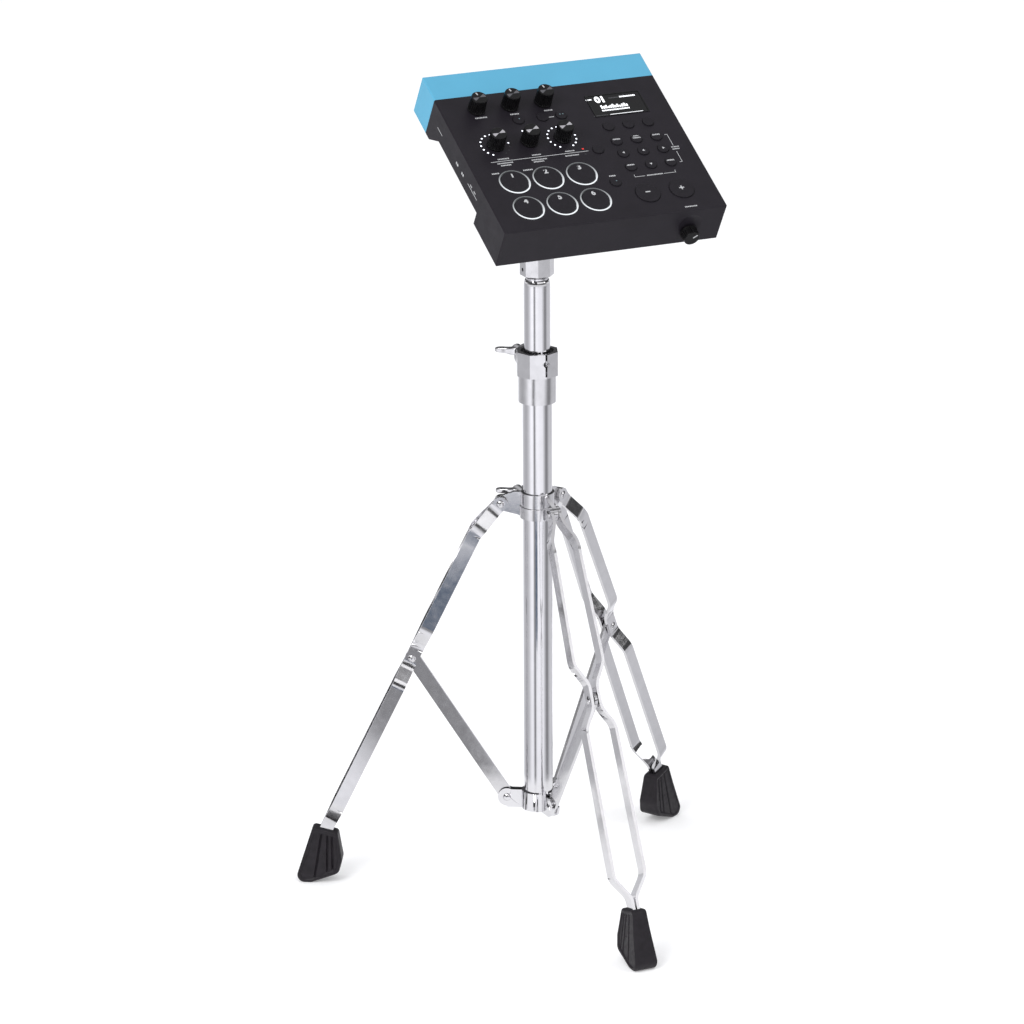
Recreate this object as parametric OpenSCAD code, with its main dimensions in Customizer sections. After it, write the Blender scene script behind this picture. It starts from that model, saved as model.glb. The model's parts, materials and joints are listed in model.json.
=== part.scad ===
// Percussion trigger module on a folding double-braced tripod stand.
// The origin is on the floor, under the middle of the whole object. +X is the module's right
// side, -Y its front, +Z up. The stand's column rises at x = 0, y = column_y.

/* [Column] */
// Outer diameter of the base tube
base_tube_d = 28.6; // [28:0.1:30]
// Outer diameter of the height pole
pole_d = 25.4; // [24:0.1:25.6]
// Height of the base tube's upper end
base_tube_top = 536; // [520:1:545]
// Height of the shoulder at the top of the height pole
pole_top = 619; // [616:0.5:619.5]
// Length of the height pole below its shoulder
pole_length = 369; // [320:1:420]

/* [Tripod] */
// Distance of the leg hinges from the column's axis
hub_pivot_r = 35.8; // [34:0.1:40]
// Height of the leg hinges
hub_pivot_z = 399.4; // [390:0.1:410]
// Distance of the brace hinges from the column's axis
collar_pivot_r = 30.7; // [28:0.1:34]
// Height of the brace hinges
collar_pivot_z = 94.3; // [90:0.1:98]
// Angle of the leg's short top stretch from the vertical
shoulder_slope = 40; // [35:1:45]
// Angle of the leg's long stretch from the vertical
leg_slope = 25.6; // [24:0.1:27]
// Length from the leg hinge to the knee
shoulder_length = 38.4; // [36:0.1:42]
// Length from the knee to the rivet that meets the brace
thigh_length = 146.6; // [140:0.1:150]
// Length from that rivet to the top of the foot
shin_length = 204.8; // [200:0.1:208]
// Width of the flat steel strip
strip_w = 13; // [11:0.5:14]
// Thickness of the flat steel strip
strip_t = 3; // [2.5:0.1:3.2]

/* [Module] */
// Width of the module
case_w = 231; // [228:1:240]
// Depth of the module
case_d = 215; // [213:1:225]
// Height of the module's sides
case_h = 43.4; // [42:0.1:46]
// Depth of the blue band at the rear
band_d = 32.5; // [30:0.5:35]
// Thickness of the case walls
wall = 2.5; // [2:0.1:3]
// Tilt of the module towards the player
tilt = 30.25; // [20:0.25:35]
// Height of the tilt hinge
hinge_z = 697; // [695:1:710]
// Distance from the tilt hinge to the module's underside
hinge_drop = 28.5; // [28:0.1:36]
// Distance from the module's front edge to the point over the tilt hinge
hinge_front = 97.3; // [90:0.1:110]
// Sideways distance from the column to the module's middle
module_shift = 26.5; // [10:0.5:30]

/* [Controls] */
// Distance between neighbouring pads, knobs and columns on the left
pad_pitch = 34.8; // [34:0.1:36]
// Distance between neighbouring columns of the key field
key_pitch = 21; // [20:0.1:22]
// Radius of the small keys
key_r = 5.6; // [5:0.1:6]
// Radius of the pads' lit caps
pad_r = 13.2; // [12:0.1:13.5]
// Radius of the large minus and plus keys
value_key_r = 12.3; // [11:0.1:12.5]
// Radius of the knobs
knob_r = 8.7; // [8:0.1:9]
// Height of the knobs on the top panel
knob_h = 16.6; // [14:0.1:18]
// Height of the knob on the front
phones_knob_h = 10.5; // [10:0.1:14]

/* [Hidden] */
$fn = 48;
eps = 0.01;
running_gap = 0.05;
part_gap = 0.3;

front = 270;
right = 30;
left = 150;
leg_azimuths = [front, right, left];

// Column
base_tube_r = base_tube_d / 2;
base_tube_wall = 1.2;
base_tube_bottom = 86;
pole_r = pole_d / 2;
pole_wall = 1.6;
neck_r = 10.9;
spigot_r = 8;
collar_bottom = 84;
collar_h = 18.5;
collar_r = 16.6;
hub_bottom = 386.3;
hub_step = 397.8;
hub_top = 411.9;
hub_r = 17.5;
hub_upper_r = 16.4;
hub_bolt_z = 399;
clamp_bottom = 503.7;
clamp_step = 530.7;
clamp_top = 554.4;
clamp_r = 18.3;
clamp_corner_r = 21.1;
clamp_bolt_z = 542.5;
boss_r = 11.8;
boss_reach = 27;
bushing_r = 16;
bolt_r = 3;
wing_reach = 58;
wing_half = 20;

// Tripod
pin_r = 2.5;
rivet_head_r = 4;
rivet_head_h = 1.9;
eye_r = 7;
lug_t = 4.4;
ear_t = 2.2;
ear_r = 9.2;
pinch = 4;
bend_run = 5;
bend_steps = 4;
middle_along = shoulder_length + thigh_length;
foot_along = middle_along + shin_length;
strip_end = foot_along + 26;
knee = [hub_pivot_r + shoulder_length * sin(shoulder_slope),
        hub_pivot_z - shoulder_length * cos(shoulder_slope)];
middle = knee + thigh_length * [sin(leg_slope), -cos(leg_slope)];
brace_run = [middle[0] - collar_pivot_r, middle[1] - collar_pivot_z];
brace_length = norm(brace_run);
brace_slope = atan2(brace_run[0], brace_run[1]);
brace_w = 14;
foot_reach = 240.5;
foot_half_t = 12;
column_y = (foot_reach - foot_reach * sin(right) - foot_half_t * cos(right)) / 2;

// Half the distance between a leg's two strips, at lengths along the leg
bow = [
    [0, pinch],
    [10, pinch],
    [31, 13.1],
    [46, 13.1],
    [middle_along - 35, 15.5],
    [middle_along - 15, pinch],
    [middle_along + 8, pinch],
    [middle_along + 27, 15.2],
    [foot_along - 32, 16.6],
    [foot_along - 12, 2.3],
    [strip_end, 2.3],
];

// A foot's corners: distance from the column, height, corner radius, half thickness
foot_corners = [
    [222.5, 53.5, 3.5, 7.5],
    [203, 49, 3.5, 7.5],
    [200.3, 24, 4.5, 10],
    [204.8, 15.5, 7, 11],
    [228, 7.5, 7.5, 12],
    [233, 7.5, 7.5, 12],
];

// Tilter and plate
tilter_r = 15.1;
tilter_corner_r = 16.4;
tilter_bottom = 627.3;
tilter_shoulder = 676;
disc_r = 15;
disc_t = 14;
plate_size = [110, 90, 3];
plate_screw = [46, 36];
plate_screw_r = 2;

// Module
edge_r = 1.5;
shell_gap = 0.2;
recess_start = 57.4;
recess_step = 17;
recess_slope_start = 151;
recess_end = 175;
recess_inset = 9;
rear_panel_y = case_d - 14;
rear_panel_t = 2;
board_z = 23.4;
board_t = 1.6;
shaft_r = 3;
key_rise = 1.2;
key_travel_gap = 0.9;
switch_h = 5;
flange_t = 1;
ring_r = pad_r + 2.3;
jack_count = 8;
jack_pitch = 22;
jack_r = 3.25;
jack_z = 20;
phones_at = [196.6, 15];
dish_r = 12;
dish_depth = 1.6;
dish_ball = (dish_r * dish_r + dish_depth * dish_depth) / (2 * dish_depth);
dish_z = 24;
display_at = [178.3, 149.7];
display_size = [57.5, 29.8];

first_column = 35.7;
pad_rows = [64, 28.8];
knob_rows = [163.2, 113.5];
key_columns = [for (i = [0:2]) 157.2 + i * key_pitch];

// The knobs on the top panel: name, place across, place back
TOP_KNOBS = [
    ["master_knob", first_column, knob_rows[0]],
    ["click_knob", first_column + pad_pitch, knob_rows[0]],
    ["song_knob", first_column + 2 * pad_pitch, knob_rows[0]],
    ["volume_knob", first_column, knob_rows[1]],
    ["pitch_knob", first_column + pad_pitch, knob_rows[1]],
    ["decay_knob", first_column + 2 * pad_pitch, knob_rows[1]],
];

// The keys on the top panel: name, place across, place back, radius
KEYS = [
    ["click_key", 71.9, 143.4, key_r],
    ["song_stop_key", 97, 143.4, key_r],
    ["song_play_key", 116.7, 143.4, key_r],
    ["layer_key", 134.3, 92.5, key_r],
    ["f1_key", key_columns[0], 121, key_r],
    ["f2_key", key_columns[1], 121, key_r],
    ["f3_key", key_columns[2], 121, key_r],
    ["menu_key", key_columns[0], 100.6, key_r],
    ["tools_key", key_columns[1], 100.6, key_r],
    ["lock_key", key_columns[2], 100.6, key_r],
    ["left_key", key_columns[0], 83.8, key_r],
    ["up_key", key_columns[1], 83.8, key_r],
    ["right_key", key_columns[2], 83.8, key_r],
    ["exit_key", key_columns[0], 65, key_r],
    ["down_key", key_columns[1], 65, key_r],
    ["enter_key", key_columns[2], 65, key_r],
    ["layer_2_key", 133.8, 47.7, key_r],
    ["minus_key", 159.5, 28.8, value_key_r],
    ["plus_key", 195, 28.8, value_key_r],
];

// The six lit pads: name, place across, place back, radius
PADS = [for (row = [0:1], i = [0:2])
    [str("pad_", 3 * row + i + 1), first_column + i * pad_pitch, pad_rows[row], pad_r]];

// Sockets in the left recess: start, height above the underside, width, height
SIDE_SOCKETS = [
    [86, 7.9, 12.4, 5.6],
    [112, 7.9, 12, 8.5],
];

BUTTONS = concat(KEYS, PADS);

// ---------- frames ----------

// Puts its children on the column's axis
module on_column(z = 0) {
    translate([0, column_y, z])
        children();
}

// Puts its children in the plane of one leg: X points away from the column
module leg_plane(azimuth) {
    on_column()
        rotate([0, 0, azimuth])
            children();
}

// Points X down a bar that leans out by slope degrees from the vertical, starting at r, z
module down_bar(start, slope) {
    translate([start[0], 0, start[1]])
        rotate([0, 90 - slope, 0])
            children();
}

// A rod along Y through a point of a leg's plane
module cross_rod(at, r, half_length) {
    translate([at[0], half_length, at[1]])
        rotate([90, 0, 0])
            cylinder(r = r, h = 2 * half_length);
}

// The module's own frame: X across, Y back from the front edge, Z up from its underside
module on_module() {
    on_column(hinge_z)
        rotate([tilt, 0, 0])
            translate([module_shift - case_w / 2, -hinge_front, hinge_drop])
                children();
}

// ---------- shared shapes ----------

function towards(a, b, d) = a + (b - a) * d / norm(b - a);

function bend(a, b, c) =
    let (p = towards(b, a, bend_run), q = towards(b, c, bend_run))
    [for (i = [0:bend_steps])
        let (u = i / bend_steps)
        (1 - u) * (1 - u) * p + 2 * u * (1 - u) * b + u * u * q];

function bent_path(points) =
    let (last = len(points) - 1)
    [points[0], for (i = [1:last - 1]) each bend(points[i - 1], points[i], points[i + 1]),
     points[last]];

function beside(path, i, gap) =
    let (a = path[max(i - 1, 0)], b = path[min(i + 1, len(path) - 1)], along = (b - a) / norm(b - a))
    path[i] + gap * [-along[1], along[0]];

// A flat outline of even thickness that follows a path
module ribbon(path, thickness) {
    last = len(path) - 1;
    polygon(concat(
        [for (i = [0:last]) beside(path, i, thickness / 2)],
        [for (i = [0:last]) beside(path, last - i, -thickness / 2)]
    ));
}

// A tube, open at both ends
module tube(outer, inner, height) {
    difference() {
        cylinder(r = outer, h = height);
        translate([0, 0, -1])
            cylinder(r = inner, h = height + 2);
    }
}

// A rivet's domed head, standing on z = 0
module dome(r, h) {
    ball = (r * r + h * h) / (2 * h);
    rotate_extrude()
        intersection() {
            translate([0, h - ball])
                circle(ball);
            square([r, h]);
        }
}

// A domed head at a point of a leg's plane, facing out along Y on the given side
module rivet_head(at, side, surface) {
    translate([at[0], side * surface, at[1]])
        rotate([-side * 90, 0, 0])
            dome(rivet_head_r, rivet_head_h);
}

// A rectangle with round corners
module rounded_rect(size, r) {
    translate([r, 0])
        square([size[0] - 2 * r, size[1]]);
    translate([0, r])
        square([size[0], size[1] - 2 * r]);
    for (x = [r, size[0] - r], y = [r, size[1] - r])
        translate([x, y])
            circle(r);
}

// A box whose twelve edges are all rounded
module rounded_box(size, r) {
    intersection() {
        linear_extrude(size[2])
            rounded_rect([size[0], size[1]], r);
        translate([0, size[1], 0])
            rotate([90, 0, 0])
                linear_extrude(size[1])
                    rounded_rect([size[0], size[2]], r);
        rotate([90, 0, 90])
            linear_extrude(size[0])
                rounded_rect([size[1], size[2]], r);
    }
}

// A wing bolt whose shank lies along Y, from shank_start out to the tips of its wings
module wing_bolt(shank_start, reach) {
    root = reach - 20;
    rotate([-90, 0, 0]) {
        translate([0, 0, shank_start])
            cylinder(r = bolt_r, h = root - shank_start + 1);
        translate([0, 0, root - 6])
            cylinder(r1 = 4.6, r2 = 6.4, h = 16);
    }
    for (side = [-1, 1])
        hull() {
            translate([side * 3, root, 0])
                sphere(r = 2.6, $fn = 16);
            translate([side * 3, root + 8, 0])
                sphere(r = 2.6, $fn = 16);
            translate([side * (wing_half - 6), reach - 5, 0])
                cylinder(r = 5, h = 3, center = true, $fn = 24);
            translate([side * (wing_half - 3), reach - 3, 0])
                cylinder(r = 3, h = 2.4, center = true, $fn = 24);
        }
}

// ---------- column ----------

module base_tube() {
    color("gainsboro")
        on_column(base_tube_bottom)
            tube(base_tube_r, base_tube_r - base_tube_wall, base_tube_top - base_tube_bottom);
}

module collar_ears(azimuth) {
    rotate([0, 0, azimuth])
        for (side = [-1, 1])
            translate([0, side * (strip_t / 2 + part_gap + ear_t / 2), 0])
                rotate([90, 0, 0])
                    linear_extrude(ear_t, center = true) {
                        translate([collar_pivot_r, collar_pivot_z])
                            circle(ear_r);
                        translate([base_tube_r, collar_bottom])
                            square([collar_pivot_r - base_tube_r, collar_h]);
                    }
}

// The strap round the tube's foot, with a pair of ears and a rivet for each brace
module lower_collar() {
    ear_face = strip_t / 2 + part_gap + ear_t;
    color("silver") {
        on_column()
            difference() {
                union() {
                    translate([0, 0, collar_bottom])
                        cylinder(r = collar_r, h = collar_h);
                    for (a = leg_azimuths)
                        collar_ears(a);
                }
                translate([0, 0, collar_bottom - 1])
                    cylinder(r = base_tube_r, h = collar_h + 2);
                for (a = leg_azimuths)
                    rotate([0, 0, a])
                        cross_rod([collar_pivot_r, collar_pivot_z], pin_r, ear_face + 1);
            }
        for (a = leg_azimuths)
            leg_plane(a) {
                cross_rod([collar_pivot_r, collar_pivot_z], pin_r, ear_face);
                for (side = [-1, 1])
                    rivet_head([collar_pivot_r, collar_pivot_z], side, ear_face);
            }
    }
}

// The cast clamp that grips the height pole
module height_clamp() {
    slit = 2;
    key_hole = 5.6;
    color("silver")
        on_column()
            difference() {
                union() {
                    translate([0, 0, clamp_bottom])
                        cylinder(r = clamp_r, h = clamp_step - clamp_bottom);
                    translate([0, 0, clamp_step])
                        cylinder(r = clamp_corner_r, h = clamp_top - clamp_step, $fn = 8);
                    translate([0, 0, clamp_bolt_z])
                        rotate([-90, 0, 0])
                            cylinder(r = boss_r, h = boss_reach);
                }
                translate([0, 0, clamp_bottom - 1])
                    cylinder(r = base_tube_r, h = base_tube_top - clamp_bottom + 1);
                translate([0, 0, base_tube_top - eps])
                    cylinder(r = bushing_r, h = clamp_top - base_tube_top + 1);
                translate([-slit / 2, -clamp_corner_r - 1, clamp_step + 2])
                    cube([slit, clamp_corner_r - bushing_r + 4, clamp_top]);
                translate([0, -clamp_corner_r - 1, clamp_bolt_z + 2.5])
                    rotate([0, 45, 0])
                        translate([-key_hole / 2, 0, -key_hole / 2])
                            cube([key_hole, 5, key_hole]);
                translate([0, 0, clamp_bolt_z])
                    rotate([-90, 0, 0])
                        cylinder(r = bolt_r + running_gap, h = boss_reach + 1);
            }
}

// The nylon sleeve between the clamp and the height pole
module clamp_bushing() {
    color("#222222")
        on_column(base_tube_top)
            tube(bushing_r, pole_r + running_gap, clamp_top - base_tube_top - 2);
}

module height_wing_bolt() {
    color("silver")
        on_column(clamp_bolt_z)
            wing_bolt(bushing_r + 1, wing_reach);
}

module hub_lug() {
    rotate([90, 0, 0])
        linear_extrude(lug_t, center = true) {
            translate([hub_pivot_r, hub_pivot_z])
                circle(eye_r);
            polygon([
                [base_tube_r + 1, hub_bottom + 0.5],
                [hub_upper_r + 3, hub_bottom + 2],
                [hub_pivot_r + 1, hub_pivot_z - eye_r],
                [hub_pivot_r + 3.5, hub_pivot_z + eye_r - 1],
                [hub_upper_r + 6, hub_top - 0.5],
                [base_tube_r + 1, hub_top - 0.5],
            ]);
        }
}

// The sliding hub that carries the three legs
module leg_hub() {
    color("silver")
        on_column()
            difference() {
                union() {
                    translate([0, 0, hub_bottom])
                        cylinder(r = hub_r, h = hub_step - hub_bottom);
                    translate([0, 0, hub_step - eps])
                        cylinder(r = hub_upper_r, h = hub_top - hub_step);
                    for (a = leg_azimuths)
                        rotate([0, 0, a])
                            hub_lug();
                    translate([0, 0, hub_bolt_z])
                        rotate([-90, 0, 0])
                            cylinder(r = 8, h = 26);
                }
                translate([0, 0, hub_bottom - 1])
                    cylinder(r = base_tube_r + 2 * running_gap, h = hub_top - hub_bottom + 2);
                for (a = leg_azimuths)
                    rotate([0, 0, a])
                        cross_rod([hub_pivot_r, hub_pivot_z], pin_r + running_gap, lug_t);
                translate([0, 0, hub_bolt_z])
                    rotate([-90, 0, 0])
                        cylinder(r = bolt_r + running_gap, h = 30);
            }
}

module hub_wing_bolt() {
    color("silver")
        on_column(hub_bolt_z)
            wing_bolt(base_tube_r + 0.5, wing_reach);
}

// ---------- tripod ----------

// One stretch of a leg strip, between two lengths along the leg
module strip_stretch(side, from, to) {
    path = bent_path([for (p = bow) [p[0], side * p[1]]]);
    intersection() {
        linear_extrude(strip_w, center = true)
            ribbon(path, strip_t);
        translate([from, -30, -strip_w])
            cube([to - from, 60, 2 * strip_w]);
    }
}

// One of a leg's two strips, bent outwards between its pinched ends
module leg_strip(side) {
    mitre = strip_w / 2 * tan((shoulder_slope - leg_slope) / 2);
    difference() {
        union() {
            cross_disc([hub_pivot_r, hub_pivot_z], side);
            down_bar([hub_pivot_r, hub_pivot_z], shoulder_slope)
                strip_stretch(side, 0, shoulder_length + mitre);
            down_bar(knee, leg_slope)
                translate([-shoulder_length, 0, 0])
                    strip_stretch(side, shoulder_length - mitre, strip_end);
        }
        cross_rod([hub_pivot_r, hub_pivot_z], pin_r, 10);
        cross_rod(middle, pin_r, 10);
    }
}

// The round top end of a strip
module cross_disc(at, side) {
    translate([at[0], side * pinch + strip_t / 2, at[1]])
        rotate([90, 0, 0])
            cylinder(r = eye_r, h = strip_t);
}

module leg(azimuth) {
    outside = pinch + strip_t / 2;
    color("silver")
        leg_plane(azimuth) {
            for (side = [-1, 1])
                leg_strip(side);
            cross_rod([hub_pivot_r, hub_pivot_z], pin_r, outside);
            for (side = [-1, 1]) {
                rivet_head([hub_pivot_r, hub_pivot_z], side, outside);
                rivet_head(middle, side, outside);
                translate([middle[0], side * pinch + strip_t / 2, middle[1]])
                    rotate([90, 0, 0])
                        cylinder(r = pin_r, h = strip_t);
            }
        }
}

// The flat bar from the lower collar to the middle of a leg
module brace(azimuth) {
    color("silver")
        leg_plane(azimuth)
            translate([collar_pivot_r, 0, collar_pivot_z])
                rotate([0, brace_slope, 0])
                    rotate([90, 0, 0])
                        linear_extrude(strip_t, center = true)
                            difference() {
                                union() {
                                    translate([-brace_w / 2, 0])
                                        square([brace_w, brace_length]);
                                    circle(brace_w / 2);
                                    translate([0, brace_length])
                                        circle(brace_w / 2);
                                }
                                circle(pin_r + running_gap);
                            }
}

// A rubber foot with a socket for the strips and grooves down its sides
module foot(azimuth) {
    entry = middle + shin_length * [sin(leg_slope), -cos(leg_slope)];
    groove_t = 1.2;
    color("#2b2a2d")
        leg_plane(azimuth)
            difference() {
                hull()
                    for (c = foot_corners)
                        cross_rod([c[0], c[1]], c[2], c[3], $fn = 32);
                down_bar(entry, leg_slope)
                    translate([-8, -(4 + running_gap), -(strip_w / 2 + running_gap)])
                        cube([35, 8 + 2 * running_gap, strip_w + 2 * running_gap]);
                for (side = [-1, 1], x = [204, 211.5, 219])
                    translate([x, side * 10.2, 27])
                        rotate([side * 5.5, 0, 0])
                            rotate([0, 3 * (x - 208) / 2, 0])
                                translate([-2.2, side > 0 ? 0 : -3, -14])
                                    cube([4.4, 3, 36]);
            }
}

// ---------- height pole and tilter ----------

// The height pole: a tube with a closed round shoulder, a neck and the swivel's spigot
module pole() {
    cap_h = 14;
    shoulder_h = 7;
    spigot_h = 30;
    color("silver")
        on_column()
            rotate_extrude() {
                translate([pole_r - pole_wall, pole_top - pole_length])
                    square([pole_wall, pole_length - eps]);
                translate([0, pole_top - cap_h])
                    square([pole_r, cap_h]);
                polygon([
                    [0, pole_top - eps],
                    [pole_r, pole_top - eps],
                    for (a = [0:15:90])
                        [neck_r + (pole_r - neck_r) * cos(a), pole_top + shoulder_h * sin(a)],
                    [neck_r, tilter_bottom - running_gap],
                    [0, tilter_bottom - running_gap],
                ]);
                translate([0, tilter_bottom - 1])
                    square([spigot_r, spigot_h]);
            }
}

// A hinge disc with its axis along X
module hinge_disc(start) {
    translate([start, 0, 0])
        rotate([0, 90, 0])
            cylinder(r = disc_r, h = disc_t - running_gap);
}

// The swivelling socket on the neck, with its set screw's socket and the hinge's lower half
module tilter_base() {
    spigot_space = 30;
    chamfer_h = 3;
    screw_height = 9;
    body_h = tilter_shoulder - tilter_bottom - chamfer_h;
    color("silver")
        on_column()
            difference() {
                union() {
                    translate([0, 0, tilter_bottom])
                        cylinder(r1 = neck_r, r2 = tilter_r, h = chamfer_h + eps);
                    translate([0, 0, tilter_bottom + chamfer_h])
                        rotate([0, 0, 24])
                            cylinder(r = tilter_corner_r, h = body_h, $fn = 8);
                    translate([-disc_t, -disc_r, tilter_shoulder - 1])
                        cube([disc_t - running_gap, 2 * disc_r, hinge_z - tilter_shoulder + 1]);
                    translate([0, 0, hinge_z])
                        hinge_disc(-disc_t);
                }
                translate([0, 0, tilter_bottom - 1])
                    cylinder(r = spigot_r + running_gap, h = spigot_space);
                translate([-disc_t - 1, 0, hinge_z])
                    rotate([0, 90, 0])
                        cylinder(r = bolt_r + running_gap, h = disc_t + 2);
                translate([-tilter_corner_r, 0, tilter_bottom + screw_height])
                    rotate([0, 90, 0])
                        cylinder(r = 2, h = 4, $fn = 6);
            }
}

// The upper half of the tilt hinge, with its foot under the mounting plate
module tilter_head() {
    flange = [46, 44, 4];
    flange_z = hinge_drop - plate_size[2] - flange[2];
    color("silver")
        on_column(hinge_z)
            rotate([tilt, 0, 0])
                difference() {
                    union() {
                        hinge_disc(running_gap);
                        translate([running_gap, -disc_r + 2, 0])
                            cube([disc_t - running_gap, 2 * disc_r - 4, flange_z + 1]);
                        translate([-14, -flange[1] / 2, flange_z])
                            cube(flange);
                    }
                    translate([-1, 0, 0])
                        rotate([0, 90, 0])
                            cylinder(r = bolt_r + running_gap, h = disc_t + 2);
                }
}

module tilter_wing_bolt() {
    color("silver")
        on_column(hinge_z)
            rotate([0, 0, -90]) {
                wing_bolt(-disc_t, disc_t + 28);
                rotate([90, 0, 0])
                    translate([0, 0, disc_t])
                        cylinder(r = 5.5, h = 4, $fn = 6);
            }
}

module screw_places() {
    for (x = [-1, 1], y = [-1, 1])
        translate([case_w / 2 + x * plate_screw[0], hinge_front + y * plate_screw[1], 0])
            children();
}

// The steel plate under the module, with its four pan-head screws
module mounting_plate() {
    color("dimgray")
        on_module() {
            difference() {
                translate([(case_w - plate_size[0]) / 2, hinge_front - plate_size[1] / 2, -plate_size[2]])
                    cube(plate_size);
                screw_places()
                    translate([0, 0, -plate_size[2] - 1])
                        cylinder(r = plate_screw_r, h = plate_size[2] + 2);
            }
            screw_places() {
                translate([0, 0, -plate_size[2]])
                    cylinder(r = plate_screw_r, h = plate_size[2] + wall);
                translate([0, 0, -plate_size[2]])
                    rotate([180, 0, 0])
                        dome(4.2, 2.4);
            }
        }
}

// ---------- module case ----------

// The hollow of the case, open below and at the rear
module case_hollow() {
    translate([wall, wall, -1])
        cube([case_w - 2 * wall, case_d, case_h - wall + 1]);
}

// The outline of the side recess, seen from the right and grown by a margin
module recess_outline(grow) {
    polygon([
        [recess_start - grow, -1],
        [recess_start - grow, recess_step + grow],
        [recess_slope_start + grow / 2, recess_step + 1.4 + grow],
        [recess_end + grow, 0],
        [recess_end + grow, -1],
    ]);
}

// A block along both sides of the case with the recess's outline
module recess_blocks(grow) {
    depth = recess_inset + grow;
    for (x = [-1, case_w - depth])
        translate([x, 0, 0])
            rotate([90, 0, 90])
                linear_extrude(depth + 1)
                    recess_outline(grow);
}

module case_shell() {
    difference() {
        rounded_box([case_w, case_d, case_h], edge_r);
        difference() {
            case_hollow();
            recess_blocks(wall);
        }
        recess_blocks(0);
    }
}

module through_panel(at, r) {
    translate([at[0], at[1], case_h - wall - 1])
        cylinder(r = r, h = wall + 2);
}

// The black shell with every opening for the controls
module top_case() {
    color("#2b2a2e")
        on_module()
            difference() {
                intersection() {
                    case_shell();
                    cube([case_w, case_d - band_d, case_h]);
                }
                for (k = TOP_KNOBS)
                    through_panel([k[1], k[2]], shaft_r + part_gap);
                for (k = KEYS)
                    through_panel([k[1], k[2]], k[3] + part_gap);
                for (p = PADS)
                    through_panel([p[1], p[2]], ring_r);
                translate([phones_at[0], -1, phones_at[1]])
                    rotate([-90, 0, 0])
                        cylinder(r = shaft_r + part_gap, h = wall + 2);
                translate([phones_at[0], dish_depth - dish_ball, dish_z])
                    sphere(r = dish_ball, $fn = 96);
                translate([display_at[0] - display_size[0] / 2, display_at[1] - display_size[1] / 2,
                           case_h - wall - 1])
                    cube([display_size[0], display_size[1], wall + 2]);
                for (s = SIDE_SOCKETS)
                    translate([recess_inset - 1, s[0], s[1]])
                        cube([wall + 2, s[2], s[3]]);
            }
}

// The blue band over the rear edge
module rear_cover() {
    color("#68b8db")
        on_module()
            intersection() {
                case_shell();
                translate([0, case_d - band_d, 0])
                    cube([case_w, band_d, case_h]);
            }
}

// The tray under the case: floor, rear socket panel and the posts for the board
module bottom_case() {
    inner = wall + shell_gap;
    tray_cut = recess_inset + inner;
    post_r = 3;
    post_inset = 20;
    color("#242327")
        on_module()
            difference() {
                union() {
                    translate([inner, inner, 0])
                        cube([case_w - 2 * inner, rear_panel_y - inner, wall]);
                    translate([inner, rear_panel_y, 0])
                        cube([case_w - 2 * inner, rear_panel_t, case_h - inner]);
                    for (x = [post_inset, case_w / 2, case_w - post_inset], y = [14, rear_panel_y - 16])
                        translate([x, y, 0])
                            cylinder(r = post_r, h = board_z);
                }
                for (x = [0, case_w - tray_cut])
                    translate([x, recess_start - inner, -1])
                        cube([tray_cut, recess_end - recess_start + 2 * inner, wall + 2]);
                screw_places()
                    translate([0, 0, -1])
                        cylinder(r = plate_screw_r, h = wall + 2);
                jack_places()
                    translate([0, -1, 0])
                        rotate([-90, 0, 0])
                            cylinder(r = jack_r + 1.5, h = rear_panel_t + 2);
            }
}

module jack_places() {
    for (i = [0:jack_count - 1])
        translate([case_w / 2 + (i - (jack_count - 1) / 2) * jack_pitch, rear_panel_y, jack_z])
            children();
}

// The rear row of jack sockets and the two data sockets in the left recess
module jack_sockets() {
    body = [15, 20, 13];
    bushing_length = rear_panel_t + 3;
    color("#3a3a3d")
        on_module() {
            jack_places()
                difference() {
                    union() {
                        translate([-body[0] / 2, -body[1], -body[2] / 2])
                            cube(body);
                        rotate([-90, 0, 0])
                            cylinder(r = jack_r + 1.5, h = bushing_length);
                        translate([0, rear_panel_t, 0])
                            rotate([-90, 0, 0])
                                cylinder(r = jack_r + 3, h = 2);
                    }
                    translate([0, 1 - body[1], 0])
                        rotate([-90, 0, 0])
                            cylinder(r = jack_r, h = body[1] + bushing_length);
                }
            for (s = SIDE_SOCKETS)
                translate([recess_inset + 0.2, s[0], s[1]])
                    difference() {
                        cube([14, s[2], s[3]]);
                        translate([-1, 0.6, 0.6])
                            cube([10, s[2] - 1.2, s[3] - 1.2]);
                    }
        }
}

module display_window() {
    rim = 0.6;
    color("#08080a")
        on_module()
            translate([display_at[0] - display_size[0] / 2, display_at[1] - display_size[1] / 2,
                       case_h - wall])
                difference() {
                    cube([display_size[0], display_size[1], wall + rim]);
                    translate([1.2, 1.2, wall])
                        cube([display_size[0] - 2.4, display_size[1] - 2.4, rim + 1]);
                }
}

// The six clear light rings round the pads
module pad_rings() {
    color("white")
        on_module()
            for (p = PADS)
                translate([p[1], p[2], case_h - wall])
                    tube(ring_r, pad_r + part_gap, wall + 0.5);
}

// A potentiometer's square body and bushing, with a running bore for the knob's shaft
module potentiometer(height) {
    difference() {
        union() {
            translate([-5.5, -5.5, 0])
                cube([11, 11, 7]);
            cylinder(r = 4.2, h = height);
        }
        translate([0, 0, 2])
            cylinder(r = shaft_r + running_gap, h = height);
    }
}

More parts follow.
